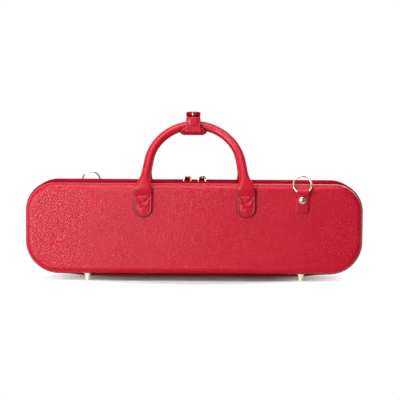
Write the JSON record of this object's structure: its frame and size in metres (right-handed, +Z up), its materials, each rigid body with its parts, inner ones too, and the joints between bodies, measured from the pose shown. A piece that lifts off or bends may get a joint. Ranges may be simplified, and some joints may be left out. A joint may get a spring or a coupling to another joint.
{
  "type": "flute case",
  "caption": "Zipped leather flute case on metal feet, with a hinged lid, two rolled handles with a keeper strap, shoulder strap rings and a fitted bed for the flute.",
  "frame": {"origin": "centre of the bounding box at the floor under the feet", "axes": "+X along the case, -Y out of the front face, +Z up"},
  "size_m": [0.42, 0.0882, 0.2103],
  "materials": {
    "leather": "pebbled grain, soft satin",
    "piping": "smooth satin leather over a cord",
    "padding": "cream foam",
    "board": "grey-brown fibreboard",
    "zip_tape": "woven tape",
    "zip_teeth": "moulded coil",
    "metal": "polished pale gold plating",
    "plush": "short pile velvet"
  },
  "bodies": {
    "back_half": {"back_panel": "leather", "back_side_band": "leather", "back_padding": "padding", "back_board": "board", "back_piping": "piping", "back_zip_tape": "zip_tape", "back_zip_teeth": "zip_teeth", "back_zip_stops": "metal", "back_feet": "metal", "back_foot_screws": "metal", "back_handle_tabs": "leather", "back_handle_ends": "leather", "back_ring_tab": "leather", "back_ring_stud": "metal", "back_stud_washer": "metal", "flute_bed": "plush", "spine_hinge": "leather"},
    "front_half": {"front_panel": "leather", "front_side_band": "leather", "front_padding": "padding", "front_board": "board", "front_piping": "piping", "front_zip_tape": "zip_tape", "front_zip_teeth": "zip_teeth", "front_zip_stops": "metal", "front_feet": "metal", "front_foot_screws": "metal", "front_handle_tabs": "leather", "front_handle_ends": "leather", "front_ring_tab": "leather", "front_ring_stud": "metal", "front_stud_washer": "metal", "lid_pad": "plush"},
    "front_handle": {"front_handle": "leather", "front_handle_cord": "padding", "keeper_pad": "leather", "keeper_front_strap": "leather", "keeper_rear_strap": "leather", "keeper_stud": "metal"},
    "keeper_flap": {"keeper_flap": "leather", "keeper_socket": "metal"},
    "back_handle": {"back_handle": "leather", "back_handle_cord": "padding"},
    "front_ring": {"front_ring": "metal"},
    "back_ring": {"back_ring": "metal"},
    "left_slider": {"left_slider": "metal"},
    "left_pull": {"left_pull": "metal", "left_pull_tag": "leather"},
    "right_slider": {"right_slider": "metal"},
    "right_pull": {"right_pull": "metal", "right_pull_tag": "leather"}
  },
  "joints": [
    {"name": "lid_hinge", "type": "hinge", "parent": "back_half", "child": "front_half", "pos_m": [0, 0, 0.0075], "axis": [1, 0, 0], "range_deg": [0, 130], "deforming": ["spine_hinge"]},
    {"name": "front_handle_fold", "type": "hinge", "parent": "front_half", "child": "front_handle", "pos_m": [0, -0.0403, 0.1165], "axis": [1, 0, 0], "range_deg": [0, 150]},
    {"name": "back_handle_fold", "type": "hinge", "parent": "back_half", "child": "back_handle", "pos_m": [0, 0.0403, 0.1165], "axis": [-1, 0, 0], "range_deg": [0, 150]},
    {"name": "keeper_flap_lift", "type": "hinge", "parent": "front_handle", "child": "keeper_flap", "pos_m": [-0.0023, -0.00045, 0.20463], "axis": [-1, 0, 0], "range_deg": [0, 165]},
    {"name": "front_ring_swing", "type": "hinge", "parent": "front_half", "child": "front_ring", "pos_m": [0.133, -0.04005, 0.1121], "axis": [1, 0, 0], "range_deg": [0, 185]},
    {"name": "back_ring_swing", "type": "hinge", "parent": "back_half", "child": "back_ring", "pos_m": [-0.133, 0.04005, 0.1121], "axis": [-1, 0, 0], "range_deg": [0, 185]},
    {"name": "left_slider_travel", "type": "slide", "parent": "back_half", "child": "left_slider", "axis": [-1, 0, 0], "range_m": [0, 0.15]},
    {"name": "right_slider_travel", "type": "slide", "parent": "back_half", "child": "right_slider", "axis": [1, 0, 0], "range_m": [0, 0.15]},
    {"name": "left_pull_flip", "type": "hinge", "parent": "left_slider", "child": "left_pull", "pos_m": [-0.0092, 0, 0.12905], "axis": [1, 0, 0], "range_deg": [0, 200]},
    {"name": "right_pull_flip", "type": "hinge", "parent": "right_slider", "child": "right_pull", "pos_m": [0.0092, 0, 0.12905], "axis": [1, 0, 0], "range_deg": [0, 200]}
  ]
}
